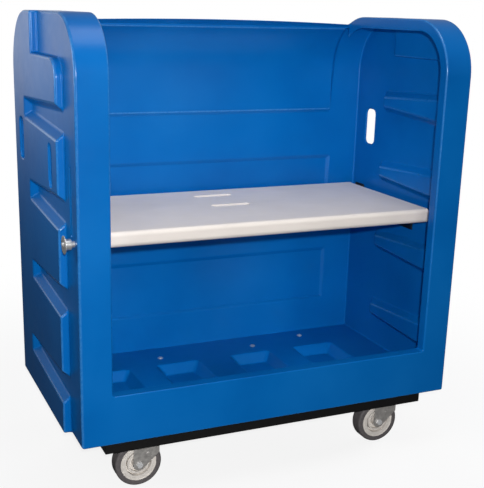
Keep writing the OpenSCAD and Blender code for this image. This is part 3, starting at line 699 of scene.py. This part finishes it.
def makeSocketHeadTree():
    # domed head with a six-sided socket, on a plain shank that runs back from the seat
    s = fastenerSettings
    t, given = startTree("socketHead", [*s["floor"], "Shank Length"])
    up = addNode(t, "ShaderNodeCombineXYZ", {}, {"Z": given["Head Height"]})
    half = addNode(t, "ShaderNodeMath", {"operation": "MULTIPLY"}, {0: given["Head Height"], 1: 0.5})
    lift = addNode(t, "ShaderNodeCombineXYZ", {}, {"Z": half.outputs[0]})
    disc = addNode(t, "GeometryNodeMeshCylinder", {"fill_type": "TRIANGLE_FAN"}, {
        "Vertices": s["headSides"], "Fill Segments": s["domeRings"], "Radius": given["Head Radius"],
        "Depth": given["Head Height"],
    })
    seat = addNode(t, "GeometryNodeTransform", {}, {
        "Geometry": disc.outputs["Mesh"], "Translation": lift.outputs[0],
    })
    # the top sinks towards the rim by a power of the distance from the middle
    place = addNode(t, "GeometryNodeInputPosition")
    split = addNode(t, "ShaderNodeSeparateXYZ", {}, {0: place.outputs[0]})
    flat = addNode(t, "ShaderNodeCombineXYZ", {}, {"X": split.outputs["X"], "Y": split.outputs["Y"]})
    far = addNode(t, "ShaderNodeVectorMath", {"operation": "LENGTH"}, {0: flat.outputs[0]})
    share = addNode(t, "ShaderNodeMath", {"operation": "DIVIDE"}, {
        0: far.outputs["Value"], 1: given["Head Radius"],
    })
    power = addNode(t, "ShaderNodeMath", {"operation": "POWER"}, {0: share.outputs[0], 1: s["domePower"]})
    drop = addNode(t, "ShaderNodeMath", {"operation": "MULTIPLY"}, {0: power.outputs[0], 1: -s["domeDrop"]})
    sink = addNode(t, "ShaderNodeMath", {"operation": "MULTIPLY"}, {
        0: drop.outputs[0], 1: split.outputs["Z"],
    })
    move = addNode(t, "ShaderNodeCombineXYZ", {}, {"Z": sink.outputs[0]})
    dome = addNode(t, "GeometryNodeSetPosition", {}, {
        "Geometry": seat.outputs[0], "Offset": move.outputs[0],
    })
    deep = addNode(t, "ShaderNodeMath", {"operation": "MULTIPLY"}, {0: given["Socket Depth"], 1: 2.0})
    tool = addNode(t, "GeometryNodeMeshCylinder", {}, {
        "Vertices": 6, "Radius": given["Socket Radius"], "Depth": deep.outputs[0],
    })
    over = addNode(t, "GeometryNodeTransform", {}, {
        "Geometry": tool.outputs["Mesh"], "Translation": up.outputs[0],
    })
    head = addNode(t, "GeometryNodeMeshBoolean", {"operation": "DIFFERENCE"}, {
        "Mesh 1": dome.outputs[0], "Mesh 2": over.outputs[0],
    })
    return spreadFastener(t, given, [head])


def makeHexHeadTree():
    # six-sided head, its corners turned off by a cone, on a flanged seat and a plain shank
    s = fastenerSettings
    t, given = startTree("hexHead", [*s["caster"], "Shank Length"])
    half = addNode(t, "ShaderNodeMath", {"operation": "MULTIPLY"}, {0: given["Head Height"], 1: 0.5})
    lift = addNode(t, "ShaderNodeCombineXYZ", {}, {"Z": half.outputs[0]})
    prism = addNode(t, "GeometryNodeMeshCylinder", {}, {
        "Vertices": 6, "Radius": given["Head Radius"], "Depth": given["Head Height"],
    })
    inner = addNode(t, "ShaderNodeMath", {"operation": "MULTIPLY"}, {
        0: given["Head Radius"], 1: s["coneShare"],
    })
    over, slope = s["coneOver"], s["coneSlope"]
    tip = addNode(t, "ShaderNodeMath", {"operation": "MULTIPLY_ADD"}, {
        0: given["Head Height"], 1: -slope * over, 2: inner.outputs[0],
    })
    outer = addNode(t, "ShaderNodeMath", {"operation": "MULTIPLY_ADD"}, {
        0: given["Head Height"], 1: slope * (1 + over), 2: inner.outputs[0],
    })
    tall = addNode(t, "ShaderNodeMath", {"operation": "MULTIPLY"}, {
        0: given["Head Height"], 1: 1 + 2 * over,
    })
    cone = addNode(t, "GeometryNodeMeshCone", {}, {
        "Vertices": s["headSides"], "Radius Top": tip.outputs[0], "Radius Bottom": outer.outputs[0],
        "Depth": tall.outputs[0],
    })
    low = addNode(t, "ShaderNodeMath", {"operation": "MULTIPLY"}, {0: given["Head Height"], 1: -0.5 - over})
    fall = addNode(t, "ShaderNodeCombineXYZ", {}, {"Z": low.outputs[0]})
    sunk = addNode(t, "GeometryNodeTransform", {}, {
        "Geometry": cone.outputs["Mesh"], "Translation": fall.outputs[0],
    })
    turned = addNode(t, "GeometryNodeMeshBoolean", {"operation": "INTERSECT"}, {
        "Mesh 2": prism.outputs["Mesh"],
    })
    t.links.new(sunk.outputs[0], turned.inputs["Mesh 2"])
    head = addNode(t, "GeometryNodeTransform", {}, {
        "Geometry": turned.outputs["Mesh"], "Translation": lift.outputs[0],
    })
    rise = addNode(t, "ShaderNodeMath", {"operation": "MULTIPLY"}, {0: given["Flange Height"], 1: 0.5})
    lay = addNode(t, "ShaderNodeCombineXYZ", {}, {"Z": rise.outputs[0]})
    ring = addNode(t, "GeometryNodeMeshCylinder", {}, {
        "Vertices": s["headSides"], "Radius": given["Flange Radius"], "Depth": given["Flange Height"],
    })
    flange = addNode(t, "GeometryNodeTransform", {}, {
        "Geometry": ring.outputs["Mesh"], "Translation": lay.outputs[0],
    })
    return spreadFastener(t, given, [head, flange])


def buildFasteners():
    s = fastenerSettings
    socketHead, hexHead = makeSocketHeadTree(), makeHexHeadTree()
    floorRuns = {}
    for low, high in looseBoxes("floor_bolts"):
        seat = high.z - s["floor"]["Head Height"]
        middle = (low + high) / 2
        floorRuns.setdefault(round(seat - low.z, 4), []).append(((middle.x, middle.y, seat), (0, 0, 1)))
    made = []
    for length, places in floorRuns.items():
        values = {**s["floor"], "Shank Length": length, "Material": stainless}
        made.append(runTree(pointObject("floor_run", places), socketHead, values))
    standFor(joinPieces("floor_bolt_set", made), "floor_bolts")
    made, wallRuns = [], {}
    for node in ("pivot_screws", "rest_screws"):
        for low, high in looseBoxes(node):
            middle = (low + high) / 2
            inward = 1 if middle.x < 0 else -1
            head = s["wall"]["Head Height"]
            seat = high.x - head if inward > 0 else low.x + head
            length = round(high.x - low.x - head, 4)
            wallRuns.setdefault(length, []).append(((seat, middle.y, middle.z), (inward, 0, 0)))
    for length, places in wallRuns.items():
        values = {**s["wall"], "Shank Length": length, "Material": blackCoat}
        made.append(runTree(pointObject("wall_run", places), socketHead, values))
    standFor(joinPieces("wall_screw_set", made), "pivot_screws", "rest_screws")
    places, length = [], 0
    for low, high in looseBoxes("caster_bolts"):
        seat = low.z + s["caster"]["Head Height"]
        places.append((((low.x + high.x) / 2, (low.y + high.y) / 2, seat), (0, 0, -1)))
        length = high.z - seat
    values = {**s["caster"], "Shank Length": length, "Material": zincPlate}
    bolts = runTree(pointObject("caster_bolt_set", places), hexHead, values)
    standFor(bolts, "caster_bolts")
    print("fasteners made")


weldSettings = {"Ripple Spacing": 0.0022, "Bead Width": 0.0055, "Bead Height": 0.0032, "Unevenness": 0.22}
rippleSettings = {"sides": 8, "rings": 6, "seed": 7}


def makeWeldTree():
    # overlapping flattened ripples along each seam
    s = rippleSettings
    t, given = startTree("weldBead", weldSettings)
    seam = addNode(t, "GeometryNodeMeshToCurve", {}, {"Mesh": given["Geometry"]})
    steps = addNode(t, "GeometryNodeCurveToPoints", {"mode": "LENGTH"}, {
        "Curve": seam.outputs[0], "Length": given["Ripple Spacing"],
    })
    ball = addNode(t, "GeometryNodeMeshUVSphere", {}, {
        "Segments": s["sides"], "Rings": s["rings"], "Radius": 0.5,
    })
    low = addNode(t, "ShaderNodeMath", {"operation": "SUBTRACT"}, {0: 1.0, 1: given["Unevenness"]})
    uneven = addNode(t, "FunctionNodeRandomValue", {"data_type": "FLOAT"}, {
        2: low.outputs[0], 3: 1.0, "Seed": s["seed"],
    })
    wide = addNode(t, "ShaderNodeMath", {"operation": "MULTIPLY"}, {
        0: given["Bead Width"], 1: uneven.outputs[1],
    })
    size = addNode(t, "ShaderNodeCombineXYZ", {}, {
        "X": wide.outputs[0], "Y": wide.outputs[0], "Z": given["Bead Height"],
    })
    spread = addNode(t, "GeometryNodeInstanceOnPoints", {}, {
        "Points": steps.outputs["Points"], "Instance": ball.outputs["Mesh"], "Scale": size.outputs[0],
    })
    return endTree(t, given, spread.outputs[0])


def buildWelds():
    seams = []
    low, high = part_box("rear_stringer")
    barIn, barOut, barEnd, barFoot = low[1], high[1], high[0], low[2]
    for low, high in looseBoxes("caster_pads"):
        outer = high.y if high.y > 0 else low.y
        seams.append(((low.x, outer, low.z), (high.x, outer, low.z)))
        side = math.copysign(1, outer)
        for x in (low.x, high.x):
            seams.append(((x, side * barIn, high.z), (x, side * barOut, high.z)))
    for sx in (-1, 1):
        for sy in (-1, 1):
            seams.append(((sx * barEnd, sy * barIn, barFoot), (sx * barEnd, sy * barOut, barFoot)))
    mesh = bpy.data.meshes.new("weld_beads")
    mesh.from_pydata([p for seam in seams for p in seam], [(2 * i, 2 * i + 1) for i in range(len(seams))], [])
    beads = bpy.data.objects.new("weld_beads", mesh)
    scene.collection.objects.link(beads)
    runTree(beads, makeWeldTree(), {**weldSettings, "Material": blackCoat})
    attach(beads, "cart")
    print("welds", len(seams), "seams")


buildFasteners()
buildWelds()


stageSettings = {
    "floorHalf": 25.0, "floorColour": "#F4F4F4", "bounceColour": "#454545", "shadowShare": 0.15,
    "fadeFrom": 0.9, "fadeTo": 2.4, "mirrorNear": 0.04, "mirrorFar": 0.9, "mirrorFrom": 2.0, "mirrorTo": 20.0,
}


def buildStage():
    s = stageSettings
    h = s["floorHalf"]
    mesh = bpy.data.meshes.new("studio_floor")
    mesh.from_pydata([(-h, -h, 0), (h, -h, 0), (h, h, 0), (-h, h, 0)], [], [(0, 1, 2, 3)])
    floor = bpy.data.objects.new("studio_floor", mesh)
    scene.collection.objects.link(floor)
    m = bpy.data.materials.new("paperFloor")
    m.use_nodes = True
    t = m.node_tree
    t.nodes.clear()
    out = addNode(t, "ShaderNodeOutputMaterial")
    path = addNode(t, "ShaderNodeLightPath")
    coords = addNode(t, "ShaderNodeTexCoord")
    far = addNode(t, "ShaderNodeVectorMath", {"operation": "LENGTH"}, {0: coords.outputs["Object"]})
    # the shadow keeps its share near the cart and fades out, so that no edge of the floor shows
    plain = addNode(t, "ShaderNodeMapRange", {"interpolation_type": "SMOOTHSTEP"}, {
        "Value": far.outputs["Value"], "From Min": s["fadeFrom"], "From Max": s["fadeTo"],
        "To Min": 1 - s["shadowShare"], "To Max": 1.0,
    })
    direct = addNode(t, "ShaderNodeMath", {"operation": "MAXIMUM"}, {
        0: path.outputs["Is Camera Ray"], 1: path.outputs["Is Transmission Ray"],
    })
    seen = addNode(t, "ShaderNodeMath", {"operation": "MULTIPLY"}, {
        0: direct.outputs[0], 1: plain.outputs["Result"],
    })
    share = addNode(t, "ShaderNodeMath", {"operation": "MAXIMUM"}, {
        0: seen.outputs[0], 1: path.outputs["Is Glossy Ray"],
    })
    # mirrored, the floor is dark near the cart and grows pale towards the back
    behind = addNode(t, "ShaderNodeSeparateXYZ", {}, {0: coords.outputs["Object"]})
    mirror = addNode(t, "ShaderNodeMapRange", {"interpolation_type": "SMOOTHSTEP"}, {
        "Value": behind.outputs["Y"], "From Min": s["mirrorFrom"], "From Max": s["mirrorTo"],
        "To Min": s["mirrorNear"], "To Max": s["mirrorFar"],
    })
    level = addNode(t, "ShaderNodeMapRange", {}, {
        "Value": path.outputs["Is Glossy Ray"], "To Min": 1.0, "To Max": mirror.outputs["Result"],
    })
    # pale where it is seen, and dark to the light that it sends back up
    tone = addNode(t, "ShaderNodeMix", {"data_type": "RGBA"}, {
        0: direct.outputs[0], 6: hexColour(s["bounceColour"]), 7: hexColour(s["floorColour"]),
    })
    paper = addNode(t, "ShaderNodeBsdfDiffuse", {}, {"Color": tone.outputs[2]})
    glow = addNode(t, "ShaderNodeEmission", {}, {
        "Color": (1, 1, 1, 1), "Strength": level.outputs["Result"],
    })
    mix = addNode(t, "ShaderNodeMixShader", {}, {
        "Fac": share.outputs[0], 1: paper.outputs[0], 2: glow.outputs[0],
    })
    t.links.new(mix.outputs[0], out.inputs["Surface"])
    mesh.materials.append(m)


lightSettings = {
    # level of the room on each side, and how bright it mirrors
    "sides": {"front": 0.0, "back": 0.05, "left": 0.0, "right": 0.08, "top": 0.02},
    "mirrored": {"front": 0.05, "back": 1.1, "left": 0.15, "right": 0.2, "top": 0.2},
    # the back mirrors as a pale band along the horizon: heights where it fades, and what is left above
    "bandFrom": 0.04, "bandTo": 0.28, "bandAbove": 0.15,
    # name, place, aim, size, power, spread in degrees, and whether it mirrors in what it lights
    "lamps": [
        ("key", (-1.27, -2.95, 1.62), (-0.6, 0, 0.9), 0.06, 78, 180, True),
        ("fill", (-0.6, -3.6, 0.4), (-0.1, 0, 0.3), 0.8, 16, 180, False),
        ("top", (0, -0.6, 3.0), (0, -0.2, 0), 1.2, 20, 180, True),
        ("side", (-1.4, 0, 1.4), (-0.65, 0, 1.25), 0.5, 4.0, 180, True),
        ("lowLeft", (-0.3, -0.28, 0.42), (-0.3, 0.33, 0.22), 0.16, 0.22, 82, False),
        ("lowRight", (0.3, -0.28, 0.42), (0.3, 0.33, 0.22), 0.16, 0.22, 82, False),
        ("highLeft", (-0.3, -0.33, 1.15), (-0.3, 0.33, 1.1), 0.3, 0.45, 180, False),
        ("highRight", (0.2, -0.33, 1.15), (0.2, 0.33, 1.1), 0.3, 0.4, 180, False),
        ("rear", (1.2, 4.5, 1.9), (0.2, 0.3, 0.8), 1.5, 90, 180, False),
        ("right", (3.6, 0.4, 1.9), (0.6, 0, 0.8), 1.5, 55, 180, False),
    ],
}


def buildLights():
    s = lightSettings
    world = bpy.data.worlds.new("studio")
    scene.world = world
    world.use_nodes = True
    t = world.node_tree
    t.nodes.clear()
    out = addNode(t, "ShaderNodeOutputWorld")
    path = addNode(t, "ShaderNodeLightPath")
    way = addNode(t, "ShaderNodeSeparateXYZ", {}, {
        0: addNode(t, "ShaderNodeTexCoord").outputs["Generated"],
    })
    band = addNode(t, "ShaderNodeMapRange", {}, {
        "Value": way.outputs["Z"], "From Min": s["bandFrom"], "From Max": s["bandTo"],
        "To Min": 1.0, "To Max": s["bandAbove"],
    }).outputs[0]
    level, mirrored = 0.0, 0.0
    ways = {"front": ("Y", -1), "back": ("Y", 1), "left": ("X", -1), "right": ("X", 1), "top": ("Z", 1)}
    for side, (axis, sign) in ways.items():
        towards = addNode(t, "ShaderNodeMath", {"operation": "MULTIPLY", "use_clamp": True}, {
            0: way.outputs[axis], 1: sign,
        }).outputs[0]
        level = addNode(t, "ShaderNodeMath", {"operation": "MULTIPLY_ADD"}, {
            0: towards, 1: s["sides"][side], 2: level,
        }).outputs[0]
        if side == "back":
            towards = addNode(t, "ShaderNodeMath", {"operation": "MULTIPLY"}, {
                0: towards, 1: band,
            }).outputs[0]
        mirrored = addNode(t, "ShaderNodeMath", {"operation": "MULTIPLY_ADD"}, {
            0: towards, 1: s["mirrored"][side], 2: mirrored,
        }).outputs[0]
    glossy = addNode(t, "ShaderNodeMix", {"data_type": "FLOAT"}, {
        0: path.outputs["Is Glossy Ray"], 2: level, 3: mirrored,
    }).outputs[0]
    seen = addNode(t, "ShaderNodeMath", {"operation": "MAXIMUM"}, {
        0: path.outputs["Is Camera Ray"], 1: path.outputs["Is Transmission Ray"],
    })
    strength = addNode(t, "ShaderNodeMath", {"operation": "MAXIMUM"}, {0: glossy, 1: seen.outputs[0]})
    back = addNode(t, "ShaderNodeBackground", {}, {"Color": (1, 1, 1, 1), "Strength": strength.outputs[0]})
    t.links.new(back.outputs[0], out.inputs["Surface"])
    for name, place, aim, size, power, spread, mirrors in s["lamps"]:
        lamp = bpy.data.lights.new(name, "AREA")
        lamp.shape = "SQUARE"
        lamp.size = size
        lamp.energy = power
        lamp.spread = math.radians(spread)
        obj = bpy.data.objects.new(name, lamp)
        scene.collection.objects.link(obj)
        obj.location = place
        obj.visible_camera = False
        obj.visible_glossy = mirrors
        obj.rotation_euler = (Vector(aim) - Vector(place)).to_track_quat("-Z", "Y").to_euler()


cameraSettings = {
    "place": (-1.2409, -2.7456, 1.4449), "yaw": 23.87, "pitch": -15.9, "roll": 1.4,
    "focalPx": 921.07, "centrePx": (228.66, 270.32), "framePx": (484, 488),
    "sensorMm": 36.0, "clip": (0.05, 60),
}


def buildCamera():
    s = cameraSettings
    yaw, pitch, roll = (math.radians(s[k]) for k in ("yaw", "pitch", "roll"))
    ahead = Vector((math.sin(yaw) * math.cos(pitch), math.cos(yaw) * math.cos(pitch), math.sin(pitch)))
    right = Vector((math.cos(yaw), -math.sin(yaw), 0))
    up = right.cross(ahead)
    turned = right * math.cos(roll) + up * math.sin(roll)
    up = up * math.cos(roll) - right * math.sin(roll)
    cam = bpy.data.cameras.new("camera")
    obj = bpy.data.objects.new("camera", cam)
    scene.collection.objects.link(obj)
    m = Matrix((turned, up, -ahead)).transposed().to_4x4()
    m.translation = Vector(s["place"])
    obj.matrix_world = m
    w, h = s["framePx"]
    cam.sensor_width = s["sensorMm"]
    cam.lens = s["focalPx"] * s["sensorMm"] / max(w, h)
    cam.shift_x = (w / 2 - s["centrePx"][0]) / max(w, h)
    cam.shift_y = (s["centrePx"][1] - h / 2) / max(w, h)
    cam.clip_start, cam.clip_end = s["clip"]
    scene.camera = obj


buildStage()
buildLights()
buildCamera()
print("studio ready")
